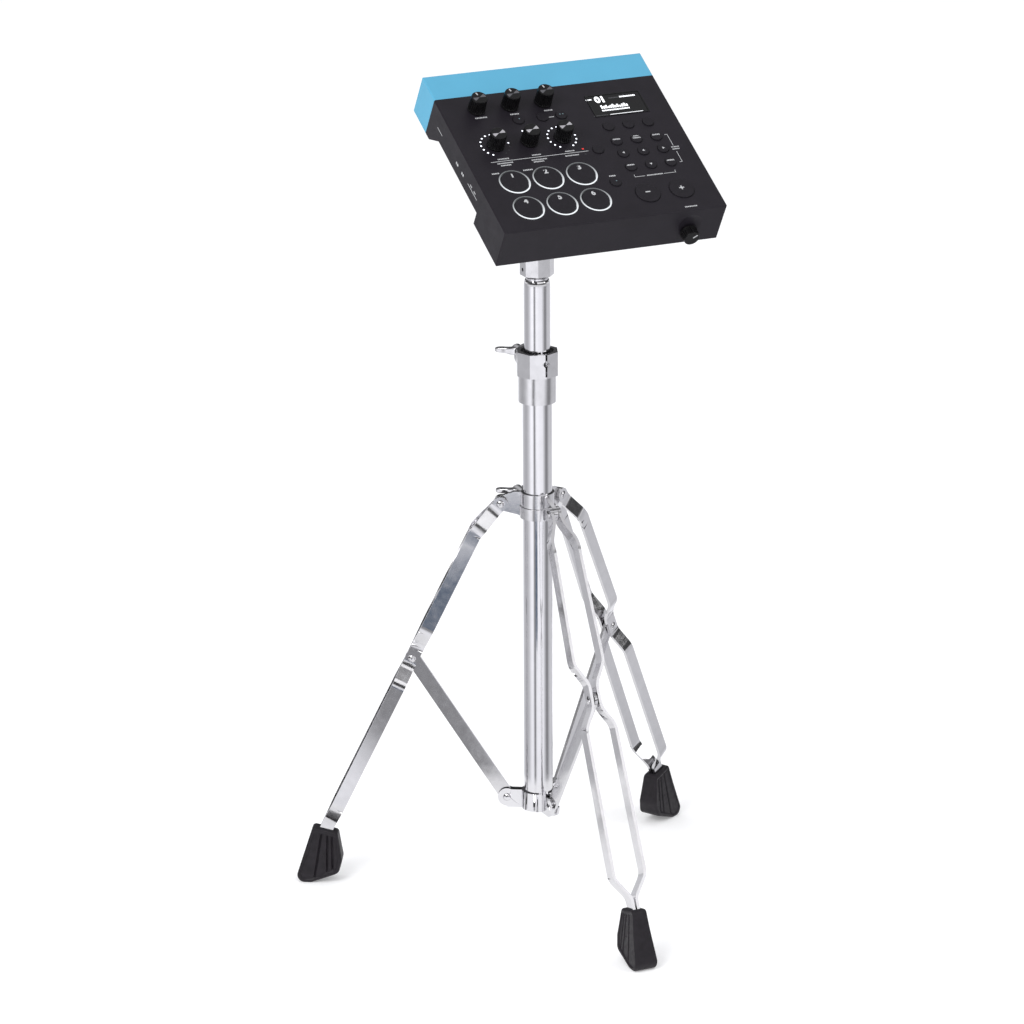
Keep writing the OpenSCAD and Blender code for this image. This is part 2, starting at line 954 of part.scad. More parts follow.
// The circuit board with its potentiometers and key switches
module main_board() {
    board_top = board_z + board_t;
    flange_bottom = case_h - wall - shell_gap - flange_t;
    color("darkgreen")
        on_module() {
            translate([14, 6, board_z])
                cube([case_w - 28, rear_panel_y - 32, board_t]);
            for (k = TOP_KNOBS)
                translate([k[1], k[2], board_top])
                    potentiometer(12);
            for (b = BUTTONS)
                translate([b[1], b[2], board_top])
                    cylinder(r = 2.5, h = switch_h);
            translate([phones_at[0], 17, phones_at[1]])
                rotate([90, 0, 0])
                    potentiometer(12);
        }
}

// ---------- controls ----------

// A knob with its shaft, standing on z = 0 of the panel's outer face
module knob_shape(height) {
    lift = 0.5;
    shaft_depth = 14;
    translate([0, 0, lift])
        rotate_extrude() {
            square([knob_r, 2]);
            square([knob_r - 0.7, height - 0.8 - lift]);
            square([knob_r - 1.5, height - lift]);
        }
    translate([0, 0, -shaft_depth])
        cylinder(r = shaft_r, h = shaft_depth + 1);
}

module top_knob(k) {
    color("#1c1b1e")
        on_module()
            translate([k[1], k[2], case_h])
                knob_shape(knob_h);
}

module phones_knob() {
    color("#1c1b1e")
        on_module()
            translate([phones_at[0], 0, phones_at[1]])
                rotate([90, 0, 0])
                    knob_shape(phones_knob_h);
}

// A key or pad cap, with the flange that holds it under the panel and its plunger
module button(b) {
    flange_top = case_h - wall - shell_gap;
    plunger_bottom = board_z + board_t + switch_h + key_travel_gap;
    color("#232226")
        on_module()
            translate([b[1], b[2], 0]) {
                translate([0, 0, flange_top - flange_t])
                    cylinder(r = b[3], h = case_h + key_rise - flange_top + flange_t);
                translate([0, 0, flange_top - flange_t])
                    cylinder(r = b[3] + 1.2, h = flange_t);
                translate([0, 0, plunger_bottom])
                    cylinder(r = 2, h = flange_top - plunger_bottom);
            }
}

base_tube();
lower_collar();
height_clamp();
clamp_bushing();
height_wing_bolt();
leg_hub();
hub_wing_bolt();
leg(front);  // front_leg
leg(right);  // right_leg
leg(left);  // left_leg
foot(front);  // front_foot
foot(right);  // right_foot
foot(left);  // left_foot
brace(front);  // front_brace
brace(right);  // right_brace
brace(left);  // left_brace
pole();
tilter_base();
tilter_head();
tilter_wing_bolt();
mounting_plate();
bottom_case();
top_case();
rear_cover();
display_window();
pad_rings();
main_board();
jack_sockets();
phones_knob();
for (k = TOP_KNOBS)
    top_knob(k);
for (b = BUTTONS)
    button(b);
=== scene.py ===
import json
import math
import random

import bmesh
import bpy
from mathutils import Matrix, Vector


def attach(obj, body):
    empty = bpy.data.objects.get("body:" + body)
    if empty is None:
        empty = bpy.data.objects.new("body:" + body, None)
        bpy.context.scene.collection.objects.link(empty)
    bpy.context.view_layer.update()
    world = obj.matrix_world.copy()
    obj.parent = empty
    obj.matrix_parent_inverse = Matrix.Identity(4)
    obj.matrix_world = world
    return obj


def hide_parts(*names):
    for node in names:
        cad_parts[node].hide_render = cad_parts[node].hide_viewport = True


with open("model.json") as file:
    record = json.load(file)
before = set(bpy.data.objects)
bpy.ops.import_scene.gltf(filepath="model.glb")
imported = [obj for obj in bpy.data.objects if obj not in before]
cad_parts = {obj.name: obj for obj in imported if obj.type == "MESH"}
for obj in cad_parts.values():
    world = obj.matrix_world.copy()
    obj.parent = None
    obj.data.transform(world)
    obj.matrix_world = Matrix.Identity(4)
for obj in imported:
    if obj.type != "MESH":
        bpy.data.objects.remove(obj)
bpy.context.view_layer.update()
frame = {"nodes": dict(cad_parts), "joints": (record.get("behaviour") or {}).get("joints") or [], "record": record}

MM = 0.001

# The module, in millimetres, in its own frame: X across, Y back from the front edge,
# Z up from its underside
CASE_W = 231
CASE_H = 43.4
CASE_WALL = 2.5
CASE_TILT = 30.25
CASE_SHIFT = 26.5
HINGE_FRONT = 97.3
HINGE_DROP = 28.5
FIRST_COLUMN = 35.7
PAD_PITCH = 34.8
KEY_PITCH = 21
KEY_R = 5.6
VALUE_KEY_R = 12.3
PAD_R = 13.2
RING_INNER = 14.1
RING_OUTER = 15.3
KEY_RISE = 1.2
FLANGE_BOTTOM = 39.7
FLANGE_TOP = 40.7
PLUNGER_BOTTOM = 30.9
KNOB_R = 8.7
KNOB_H = 16.6
PHONES_AT = (196.6, 15)
PHONES_KNOB_H = 10.5
PAD_ROWS = (64, 28.8)
KNOB_ROWS = (163.2, 113.5)
LED_RING_Y = 114.4
REAR_PANEL_Y = 201
JACK_PITCH = 22
JACK_Z = 20
# Sockets in the left recess: start, height above the underside, width, height
SIDE_SOCKETS = [(86, 7.9, 12.4, 5.6), (112, 7.9, 12, 8.5)]

# The stand
LEG_AZIMUTHS = {"front": 270, "right": 30, "left": 150}
LEG_SLOPE = 25.6
HUB_BOLT_Z = 399
HEIGHT_BOLT_Z = 542.5
FOOT_TOP_Z = 53.5
FOOT_FLAT_Z = 7.5
# A foot's corners: distance from the column, height, corner radius
FOOT_CORNERS = [
    (222.5, 53.5, 3.5),
    (203, 49, 3.5),
    (200.3, 24, 4.5),
    (204.8, 15.5, 7),
    (228, 7.5, 7.5),
    (233, 7.5, 7.5),
]


# ---------- places ----------


def joint_point(name):
    """Where a hinge stands at rest, in metres."""
    return Vector(next(j for j in frame["joints"] if j["name"] == name)["pos_m"])


HINGE = joint_point("tilt")
COLUMN = Vector((HINGE.x, HINGE.y, 0))


def at(x, y, z):
    """A shift in millimetres."""
    return Matrix.Translation(Vector((x, y, z)) * MM)


def turn(degrees, axis):
    return Matrix.Rotation(math.radians(degrees), 4, axis)


MODULE = (
    Matrix.Translation(HINGE)
    @ turn(CASE_TILT, "X")
    @ at(CASE_SHIFT - CASE_W / 2, -HINGE_FRONT, HINGE_DROP)
)
FRONT_FACE = turn(90, "X")
REAR_FACE = turn(-90, "X")


def leg_plane(azimuth):
    """The frame of one leg: X away from the column, Z up."""
    return Matrix.Translation(COLUMN) @ turn(azimuth, "Z")


# ---------- flat shapes ----------


def rounded(points, closed=False, steps=5):
    """A flat path with its corners rounded. A point may carry a corner radius as its third value."""
    path = []
    count = len(points)
    for i, point in enumerate(points):
        here = Vector(point[:2])
        radius = point[2] if len(point) > 2 else 0
        if radius == 0 or (not closed and i in (0, count - 1)):
            path.append(here)
            continue
        before = Vector(points[i - 1][:2]) - here
        after = Vector(points[(i + 1) % count][:2]) - here
        reach = min(radius, before.length * 0.49, after.length * 0.49)
        start = here + before.normalized() * reach
        end = here + after.normalized() * reach
        for k in range(steps + 1):
            u = k / steps
            path.append((1 - u) ** 2 * start + 2 * u * (1 - u) * here + u * u * end)
    return path


def circle_path(r, count=40, centre=(0, 0)):
    turns = [2 * math.pi * i / count for i in range(count)]
    return [Vector((centre[0] + r * math.cos(a), centre[1] + r * math.sin(a))) for a in turns]


def wrap(points):
    """The convex outline round flat points, anticlockwise."""
    ordered = sorted(points, key=lambda p: (round(p.x, 6), round(p.y, 6)))

    def half(run):
        chain = []
        for p in run:
            while len(chain) > 1 and (chain[-1] - chain[-2]).cross(p - chain[-1]) <= 1e-9:
                chain.pop()
            chain.append(p)
        return chain[:-1]

    return half(ordered) + half(ordered[::-1])


def even_steps(outline, count):
    """A closed outline walked in equal steps."""
    closed = outline + [outline[0]]
    lengths = [(b - a).length for a, b in zip(closed, closed[1:])]
    step = sum(lengths) / count
    walked = []
    i = 0
    passed = 0
    for k in range(count):
        while passed + lengths[i] < k * step:
            passed += lengths[i]
            i += 1
        walked.append(closed[i].lerp(closed[i + 1], (k * step - passed) / lengths[i]))
    return walked


def sector(r, start, end, steps=10):
    """A pie slice between two angles in degrees."""
    turns = [math.radians(start + (end - start) * k / steps) for k in range(steps + 1)]
    return [Vector((0, 0))] + [Vector((r * math.cos(a), r * math.sin(a))) for a in turns]


# ---------- solids ----------


def skin(bm, rings, closed_ring=True, material=0):
    """Joins rings of vertices with faces. A ring of one vertex closes an end."""
    for low, high in zip(rings, rings[1:]):
        count = max(len(low), len(high))
        last = count if closed_ring else count - 1
        for i in range(last):
            j = (i + 1) % count
            if len(low) == 1:
                corners = [low[0], high[j], high[i]]
            elif len(high) == 1:
                corners = [low[i], low[j], high[0]]
            else:
                corners = [low[i], low[j], high[j], high[i]]
            bm.faces.new(corners).material_index = material


def lathe(bm, profile, place=Matrix(), segments=48, material=0, flutes=0, bite=0.0):
    """Turns (radius, height) points round Z.

    Flutes cut in by bite of the radius, where a point's third value asks.
    """
    rings = []
    for point in profile:
        r, z = point[:2]
        depth = bite if len(point) > 2 and point[2] else 0
        if r < 1e-6:
            rings.append([bm.verts.new(place @ Vector((0, 0, z)))])
            continue
        ring = []
        for i in range(segments):
            a = 2 * math.pi * i / segments
            here = r * (1 - depth * (0.5 + 0.5 * math.cos(flutes * a)) ** 3)
            ring.append(bm.verts.new(place @ Vector((here * math.cos(a), here * math.sin(a), z))))
        rings.append(ring)
    skin(bm, rings, material=material)


def slab(bm, outline, low, high, place=Matrix(), material=0):
    """A flat outline given thickness along Z."""
    bottom = [bm.verts.new(place @ Vector((p[0], p[1], low))) for p in outline]
    top = [bm.verts.new(place @ Vector((p[0], p[1], high))) for p in outline]
    bm.faces.new(bottom[::-1]).material_index = material
    bm.faces.new(top).material_index = material
    skin(bm, [bottom, top], material=material)


def block(bm, x, y, width, height, low, high, place=Matrix(), material=0):
    """A flat block centred on x, y."""
    corners = [(-1, -1), (1, -1), (1, 1), (-1, 1)]
    outline = [(x + u * width / 2, y + v * height / 2) for u, v in corners]
    slab(bm, outline, low, high, place, material)


def moulded_plate(bm, outline, centre, half_thickness, edge, relief, place=Matrix(), rings=24):
    """A plate in the XZ plane with rounded edges. relief gives how deep each point of a side is cut."""
    arc_steps = 5
    shells = []
    for side in (1, -1):
        shell = [[bm.verts.new(place @ Vector((centre.x, side * half_thickness(centre), centre.y)))]]
        for k in range(1, rings + 1):
            ring = []
            for p in outline:
                inner = p + (centre - p).normalized() * edge
                here = centre.lerp(inner, k / rings)
                cut = relief(here, (inner - here).length)
                y = half_thickness(here) - cut
                ring.append(bm.verts.new(place @ Vector((here.x, side * y, here.y))))
            shell.append(ring)
        for k in range(1, arc_steps + 1):
            a = math.pi / 2 * k / arc_steps
            ring = []
            for p in outline:
                inner = p + (centre - p).normalized() * edge
                here = inner.lerp(p, math.sin(a))
                y = half_thickness(p) - edge * (1 - math.cos(a))
                ring.append(bm.verts.new(place @ Vector((here.x, side * y, here.y))))
            shell.append(ring)
        shells.append(shell)
    skin(bm, shells[0])
    skin(bm, shells[1])
    skin(bm, [shells[0][-1], shells[1][-1]])


def letter(bm, text, x, y, size, low, high, place=Matrix(), material=0):
    """A digit, centred on x, y."""
    curve = bpy.data.curves.new("digit", "FONT")
    curve.body = text
    curve.size = size
    curve.align_x = "CENTER"
    curve.align_y = "CENTER"
    curve.offset = 0.045 * size
    curve.extrude = (high - low) / 2
    curve.resolution_u = 4
    holder = bpy.data.objects.new("digit", curve)
    shape = bpy.data.meshes.new_from_object(holder)
    shape.transform(place @ Matrix.Translation((x, y, (low + high) / 2)))
    first = len(bm.faces)
    bm.from_mesh(shape)
    bm.faces.ensure_lookup_table()
    for face in bm.faces[first:]:
        face.material_index = material
    bpy.data.objects.remove(holder)
    bpy.data.curves.remove(curve)
    bpy.data.meshes.remove(shape)


def add_piece(name, bm, materials, body, place=Matrix(), replaced=(), sharp=32):
    """Turns a shape in millimetres into a piece that rides on a body."""
    bmesh.ops.recalc_face_normals(bm, faces=bm.faces)
    bm.transform(place @ Matrix.Scale(MM, 4))
    mesh = bpy.data.meshes.new(name)
    bm.to_mesh(mesh)
    bm.free()
    for material in materials:
        mesh.materials.append(material)
    mesh.shade_smooth()
    mesh.set_sharp_from_angle(angle=math.radians(sharp))
    piece = bpy.data.objects.new(name, mesh)
    bpy.context.scene.collection.objects.link(piece)
    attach(piece, body)
    if replaced:
        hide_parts(*replaced)
    return piece


# ---------- materials ----------


def set_stops(ramp, stops):
    """Fills a colour ramp from pairs of a position and a grey level."""
    elements = ramp.color_ramp.elements
    while len(elements) < len(stops):
        elements.new(0.5)
    for element, (position, level) in zip(elements, stops):
        element.position = position
        element.color = (level, level, level * 1.02, 1)


class Surface:
    """A principled material whose nodes read the object's own coordinates."""

    def __init__(self, name, colour, roughness, metallic=0.0, specular=0.5):
        self.material = bpy.data.materials.new(name)
        self.material.use_nodes = True
        self.nodes = self.material.node_tree.nodes
        self.links = self.material.node_tree.links
        self.shader = self.nodes["Principled BSDF"]
        self.colour = colour
        self.roughness = roughness
        self.shader.inputs["Base Color"].default_value = (*colour, 1)
        self.shader.inputs["Roughness"].default_value = roughness
        self.shader.inputs["Metallic"].default_value = metallic
        self.shader.inputs["Specular IOR Level"].default_value = specular
        self.coordinates = self.nodes.new("ShaderNodeTexCoord").outputs["Object"]
        self.height = None

    def noise(self, size_mm, detail=4.0, stretch=(1, 1, 1)):
        """Noise whose lumps are about size_mm across."""
        mapping = self.nodes.new("ShaderNodeMapping")
        mapping.inputs["Scale"].default_value = stretch
        texture = self.nodes.new("ShaderNodeTexNoise")
        texture.inputs["Scale"].default_value = 1 / (size_mm * MM)
        texture.inputs["Detail"].default_value = detail
        self.links.new(self.coordinates, mapping.inputs["Vector"])
        self.links.new(mapping.outputs["Vector"], texture.inputs["Vector"])
        return texture.outputs["Fac"]

    def ramp(self, source, low, high):
        """Spreads the middle of a noise over two colours or two grey levels."""
        ramp = self.nodes.new("ShaderNodeValToRGB")
        ramp.color_ramp.elements[0].position = 0.3
        ramp.color_ramp.elements[1].position = 0.7
        ramp.color_ramp.elements[0].color = (*low, 1)
        ramp.color_ramp.elements[1].color = (*high, 1)
        self.links.new(source, ramp.inputs["Fac"])
        return ramp.outputs["Color"]

    def mottle(self, size_mm, amount, detail=4.0):
        """Lightens and darkens the colour in soft patches."""
        low = [c * (1 - amount) for c in self.colour]
        high = [min(1, c * (1 + amount)) for c in self.colour]
        colour = self.ramp(self.noise(size_mm, detail), low, high)
        self.links.new(colour, self.shader.inputs["Base Color"])
        return self

    def smears(self, size_mm, amount, stretch=(1, 1, 1)):
        """Varies the roughness, as handling does."""
        low = max(0.02, self.roughness - amount)
        high = self.roughness + amount
        level = self.ramp(self.noise(size_mm, 5, stretch), [low] * 3, [high] * 3)
        self.links.new(level, self.shader.inputs["Roughness"])
        return self

    def grain(self, size_mm, depth_mm, detail=3.0, stretch=(1, 1, 1)):
        """Adds a fine raised texture on top of any that is there."""
        bump = self.nodes.new("ShaderNodeBump")
        bump.inputs["Strength"].default_value = 1
        bump.inputs["Distance"].default_value = depth_mm * MM
        self.links.new(self.noise(size_mm, detail, stretch), bump.inputs["Height"])
        if self.height:
            self.links.new(self.height, bump.inputs["Normal"])
        self.height = bump.outputs["Normal"]
        self.links.new(self.height, self.shader.inputs["Normal"])
        return self

    def glow(self, colour, strength):
        self.shader.inputs["Emission Color"].default_value = (*colour, 1)
        self.shader.inputs["Emission Strength"].default_value = strength
        return self


def tube_chrome():
    surface = Surface("tube_chrome", (0.66, 0.655, 0.675), 0.1, metallic=1)
    return surface.mottle(14, 0.03).smears(9, 0.03).grain(22, 0.012, detail=1).material


# A darker copy of the tube chrome: painted shade for the flat strips of the legs and braces.
def shaded_strip_chrome():
    surface = Surface("shaded_strip_chrome", (0.60, 0.595, 0.61), 0.13, metallic=1)
    return surface.mottle(10, 0.04).smears(7, 0.04).grain(14, 0.012, detail=1).material


def cast_chrome():
    surface = Surface("cast_chrome", (0.60, 0.595, 0.61), 0.16, metallic=1)
    return surface.mottle(8, 0.05).smears(6, 0.05).grain(2.4, 0.02).material


def nickel():
    surface = Surface("nickel", (0.62, 0.60, 0.56), 0.24, metallic=1)
    return surface.mottle(3, 0.06).smears(4, 0.06).grain(0.8, 0.01).material


def moulded_rubber():
    surface = Surface("moulded_rubber", (0.0115, 0.0092, 0.0125), 0.5, specular=0.3)
    return surface.mottle(6, 0.25).smears(5, 0.1).grain(0.9, 0.07).grain(3.5, 0.16, detail=3).material


def black_nylon():
    surface = Surface("black_nylon", (0.012, 0.012, 0.013), 0.4, specular=0.4)
    return surface.mottle(3, 0.15).grain(0.5, 0.01).material


def powder_coat():
    surface = Surface("powder_coat", (0.016, 0.016, 0.017), 0.45, specular=0.45)
    return surface.mottle(5, 0.15).grain(0.6, 0.03).material


def case_black():
    surface = Surface("case_black", (0.0118, 0.0098, 0.0140), 0.46, specular=0.22)
    return surface.mottle(18, 0.10).smears(12, 0.04).grain(0.45, 0.02).material


def case_blue():
    surface = Surface("case_blue", (0.092, 0.355, 0.53), 0.42, specular=0.3)
    return surface.mottle(30, 0.02).smears(12, 0.04).grain(0.45, 0.012).material


def window_black():
    surface = Surface("window_black", (0.0025, 0.0025, 0.003), 0.12, specular=0.4)
    return surface.mottle(10, 0.1).smears(8, 0.04).material


def ring_painted_glow():
    """Clear plastic with a painted glow, brightest on each ring's side towards the player: painted light that
    stands for the light the rings catch, not a lamp.
    """
    surface = Surface("ring_painted_glow", (0.11, 0.115, 0.12), 0.3, specular=0.4)
    # Painted light: the rings glow though no lamp lights them; the glow stands for light the clear plastic
    # catches.
    surface.mottle(5, 0.04).grain(0.6, 0.01).glow((0.93, 0.97, 1.0), 1)
    nodes, links = surface.nodes, surface.links
    on_panel = nodes.new("ShaderNodeMapping")
    on_panel.vector_type = "TEXTURE"
    on_panel.inputs["Location"].default_value = MODULE @ (Vector((FIRST_COLUMN, PAD_ROWS[1], 0)) * MM)
    on_panel.inputs["Rotation"].default_value = (math.radians(CASE_TILT), 0, 0)
    links.new(surface.coordinates, on_panel.inputs["Vector"])
    split = nodes.new("ShaderNodeSeparateXYZ")
    links.new(on_panel.outputs["Vector"], split.inputs["Vector"])
    row = nodes.new("ShaderNodeMath")
    row.operation = "WRAP"
    row.inputs[1].default_value = (PAD_ROWS[0] - PAD_ROWS[1]) / 2 * MM
    row.inputs[2].default_value = -(PAD_ROWS[0] - PAD_ROWS[1]) / 2 * MM
    links.new(split.outputs["Y"], row.inputs[0])
    # Painted highlight: the glow is strongest on each ring's side towards the player and fades to almost nothing
    # on the far side.
    painted_highlight_falloff = nodes.new("ShaderNodeMapRange")
    painted_highlight_falloff.inputs["From Min"].default_value = RING_OUTER * MM
    painted_highlight_falloff.inputs["From Max"].default_value = -RING_OUTER * MM
    painted_highlight_falloff.interpolation_type = "SMOOTHSTEP"
    painted_highlight_falloff.inputs["To Min"].default_value = 0.03
    painted_highlight_falloff.inputs["To Max"].default_value = 1.0
    links.new(row.outputs["Value"], painted_highlight_falloff.inputs["Value"])
    links.new(painted_highlight_falloff.outputs["Result"], surface.shader.inputs["Emission Strength"])
    return surface.material


def board_green():
    surface = Surface("board_green", (0.012, 0.09, 0.035), 0.35)
    return surface.mottle(2.5, 0.35, detail=6).grain(1.2, 0.03).material


def socket_black():
    surface = Surface("socket_black", (0.014, 0.014, 0.015), 0.38)
    return surface.mottle(3, 0.15).grain(0.5, 0.015).material


def knob_black():
    surface = Surface("knob_black", (0.0035, 0.0033, 0.0038), 0.36, specular=0.26)
    return surface.mottle(3, 0.2).smears(4, 0.07).grain(0.35, 0.008).material


def key_black():
    surface = Surface("key_black", (0.0112, 0.0096, 0.0132), 0.55, specular=0.22)
    return surface.mottle(4, 0.12).grain(0.35, 0.02).material


def print_white():
    surface = Surface("print_white", (0.46, 0.465, 0.475), 0.5)
    return surface.mottle(0.8, 0.08).grain(0.3, 0.004).material


# Painted highlight: the pale bow-tie that the front row's spun knob tops show, painted as a flat pale grey.
def bright_painted_highlight():
    surface = Surface("bright_painted_highlight", (0.34, 0.33, 0.35), 0.36)
    return surface.mottle(2, 0.08).grain(0.4, 0.006).material


# Painted highlight: the fainter bow-tie on the back row's knob tops, painted as a flat dark grey.
def faint_painted_highlight():
    surface = Surface("faint_painted_highlight", (0.085, 0.085, 0.095), 0.34)
    return surface.mottle(2, 0.1).grain(0.4, 0.006).material


def lamp(name, colour, strength):
    surface = Surface(name, colour, 0.3)
    return surface.mottle(1, 0.03).glow(colour, strength).material


TUBE = tube_chrome()
SHADED_STRIP_CHROME = shaded_strip_chrome()
CAST = cast_chrome()
NICKEL = nickel()
RUBBER = moulded_rubber()
CASE = case_black()
KNOB = knob_black()
KEY = key_black()
PRINT = print_white()
BRIGHT_PAINTED_HIGHLIGHT = bright_painted_highlight()
FAINT_PAINTED_HIGHLIGHT = faint_painted_highlight()
RING_PAINTED_GLOW = ring_painted_glow()
SOCKET = socket_black()
WHITE_LAMP = lamp("white_lamp", (0.9, 0.93, 1.0), 1.1)
DARK_LAMP = lamp("dark_lamp", (0.014, 0.014, 0.017), 0.02)
RED_LAMP = lamp("red_lamp", (0.55, 0.02, 0.015), 0.6)
TEAL_LAMP = lamp("teal_lamp", (0.10, 0.15, 0.17), 0.3)

SLOT_MATERIALS = {
    "chrome": TUBE,
    "cast_chrome": CAST,
    "rubber": RUBBER,
    "nylon": black_nylon(),
    "plate_steel": powder_coat(),
    "case_black": CASE,
    "case_blue": case_blue(),
    "display": window_black(),
    "light_ring": RING_PAINTED_GLOW,
    "board": board_green(),
    "socket": SOCKET,
    "knob_black": KNOB,
    "key_black": KEY,
}

# Nodes of flat strip, given a darker copy of the tube chrome: painted shade for the darker look of their wide
# faces
STRIP_NODES = [f"{leg}_{part}" for leg in LEG_AZIMUTHS for part in ("leg", "brace")]

# How far each carried-over node's edges are rounded, in millimetres
EDGE_ROUNDING = {
    "lower_collar": 0.5,
    "height_clamp": 0.8,
    "leg_hub": 0.6,
    "front_leg": 0.45,
    "right_leg": 0.45,
    "left_leg": 0.45,
    "front_brace": 0.5,
    "right_brace": 0.5,
    "left_brace": 0.5,
    "tilter_base": 0.7,
    "tilter_head": 0.6,
    "mounting_plate": 0.3,
    "rear_cover": 0.25,
    "display_window": 0.2,
}


def finish_nodes():
    """Gives every carried-over node its material and rounds the sharp edges of the nodes listed in EDGE_ROUNDING.
    """
    slots = {part["node"]: part["material_slot"] for part in frame["record"]["subparts"]}
    for name, node in frame["nodes"].items():
        node.data.materials.clear()
        # The strips get the darker chrome, which is painted shade.
        node.data.materials.append(SHADED_STRIP_CHROME if name in STRIP_NODES else SLOT_MATERIALS[slots[name]])
        if name not in EDGE_ROUNDING:
            continue
        weld = node.modifiers.new("weld", "WELD")
        weld.merge_threshold = 0.02 * MM
        bevel = node.modifiers.new("round", "BEVEL")
        bevel.width = EDGE_ROUNDING[name] * MM
        bevel.segments = 2
        bevel.limit_method = "ANGLE"
        bevel.angle_limit = math.radians(35)
        normals = node.modifiers.new("normals", "WEIGHTED_NORMAL")
        normals.keep_sharp = False


# ---------- the module's controls ----------


def knob_shape(bm, place, height):
    """A fluted knob with a flat top standing for a spun one, standing on the face, and its shaft."""
    top = height - 0.2
    lathe(
        bm,
        rounded([(0, 0.5), (KNOB_R, 0.5, 0.3), (KNOB_R - 0.1, 1.6), (KNOB_R - 0.2, 2.0)])
        + [Vector((KNOB_R - 0.2, 2.4, 1)), Vector((KNOB_R - 0.7, height - 1.8, 1))]
        + rounded([
            (KNOB_R - 0.75, height - 1.3),
            (KNOB_R - 0.9, height - 0.1, 1.1),
            (KNOB_R - 1.9, height - 0.05),
            (KNOB_R - 2.1, top),
            (0, top),
        ]),
        place,
        segments=96,
        flutes=24,
        bite=0.07,
    )
    lathe(bm, [(0, -14), (2.9, -14), (2.9, 0.6), (0, 0.6)], place, segments=32)


def top_knobs():
    """The six knobs on the panel: the back row has a pointer, and every knob top has a painted bow-tie highlight,
    pale on the front row and faint on the back row.
    """
    names = [["master_knob", "click_knob", "song_knob"], ["volume_knob", "pitch_knob", "decay_knob"]]
    for row, y in zip(names, KNOB_ROWS):
        for i, name in enumerate(row):
            bm = bmesh.new()
            knob_shape(bm, Matrix(), KNOB_H)
            top = KNOB_H - 0.2
            highlight_slot = 1 if y == KNOB_ROWS[1] else 2
            # Two opposite sectors on the top are a painted highlight, the bow-tie a spun top shows: pale on the
            # front row, faint on the back row.
            for start in (178, -2):
                face = sector(KNOB_R - 2.15, start, start + 40)
                slab(bm, face, top - 0.05, top + 0.03, material=highlight_slot)
            if highlight_slot == 2:
                pointer = turn(14, "Z")
                block(bm, 0, 5.0, 1.2, 3.4, top - 0.05, top + 0.08, pointer, material=3)
            add_piece(
                name + "_turned", bm, [KNOB, BRIGHT_PAINTED_HIGHLIGHT, FAINT_PAINTED_HIGHLIGHT, PRINT], name,
                MODULE @ at(FIRST_COLUMN + i * PAD_PITCH, y, CASE_H), [name],
            )


def phones_knob():
    bm = bmesh.new()
    top = PHONES_KNOB_H - 0.2
    knob_shape(bm, Matrix(), PHONES_KNOB_H)
    block(bm, 0, 3.6, 1.2, 5.2, top - 0.05, top + 0.08, turn(-52, "Z"), material=1)
    add_piece(
        "phones_knob_turned", bm, [KNOB, PRINT], "phones_knob",
        MODULE @ at(PHONES_AT[0], 0, PHONES_AT[1]) @ FRONT_FACE, ["phones_knob"],
    )


def cap_shape(bm, r):
    """A pressed key: plunger, hidden flange, and a cap with a soft edge and a shallow dish."""
    top = CASE_H + KEY_RISE
    edge = min(1.1, r * 0.14)
    lathe(
        bm,
        rounded([
            (0, PLUNGER_BOTTOM), (2, PLUNGER_BOTTOM), (2, FLANGE_BOTTOM), (r + 1.2, FLANGE_BOTTOM),
            (r + 1.2, FLANGE_TOP), (r, FLANGE_TOP), (r, top, edge), (r - edge * 1.6, top),
            (r * 0.5, top - 0.12), (0, top - 0.16),
        ]),
        segments=64,
    )
    return top - 0.16


def text_row(bm, x, y, length, height, low, high, place=Matrix(), material=0, seed=1):
    """A row of small blocks that stands for a word too small to read."""
    pick = random.Random(seed)
    widths = []
    while sum(widths) + len(widths) * 0.3 * height < length:
        widths.append(height * pick.choice((0.55, 0.7, 0.85)))
    scale = length / (sum(widths) + (len(widths) - 1) * 0.3 * height)
    left = x - length / 2
    for width in widths:
        block(bm, left + width * scale / 2, y, width * scale, height, low, high, place, material)
        left += (width + 0.3 * height) * scale


def arrow(bm, degrees, low, high, material):
    points = [(1.5, 0), (-0.9, 1.4), (-0.9, -1.4)]
    slab(bm, [Vector(p) for p in points], low, high, turn(degrees, "Z"), material)


# The small keys: name, place across, place back, printed mark
SMALL_KEYS = [
    ("click_key", 71.9, 143.4, "lamp"),
    ("song_stop_key", 97, 143.4, None),
    ("song_play_key", 116.7, 143.4, "lamps"),
    ("layer_key", 134.3, 92.5, None),
    ("layer_2_key", 133.8, 47.7, "lamp"),
    ("f1_key", 157.2, 121, None),
    ("f2_key", 157.2 + KEY_PITCH, 121, None),
    ("f3_key", 157.2 + 2 * KEY_PITCH, 121, None),
    ("menu_key", 157.2, 100.6, "word"),
    ("tools_key", 157.2 + KEY_PITCH, 100.6, "words"),
    ("lock_key", 157.2 + 2 * KEY_PITCH, 100.6, "word"),
    ("left_key", 157.2, 83.8, 180),
    ("up_key", 157.2 + KEY_PITCH, 83.8, 90),
    ("right_key", 157.2 + 2 * KEY_PITCH, 83.8, 0),
    ("exit_key", 157.2, 65, "word"),
    ("down_key", 157.2 + KEY_PITCH, 65, -90),
    ("enter_key", 157.2 + 2 * KEY_PITCH, 65, "word"),
]


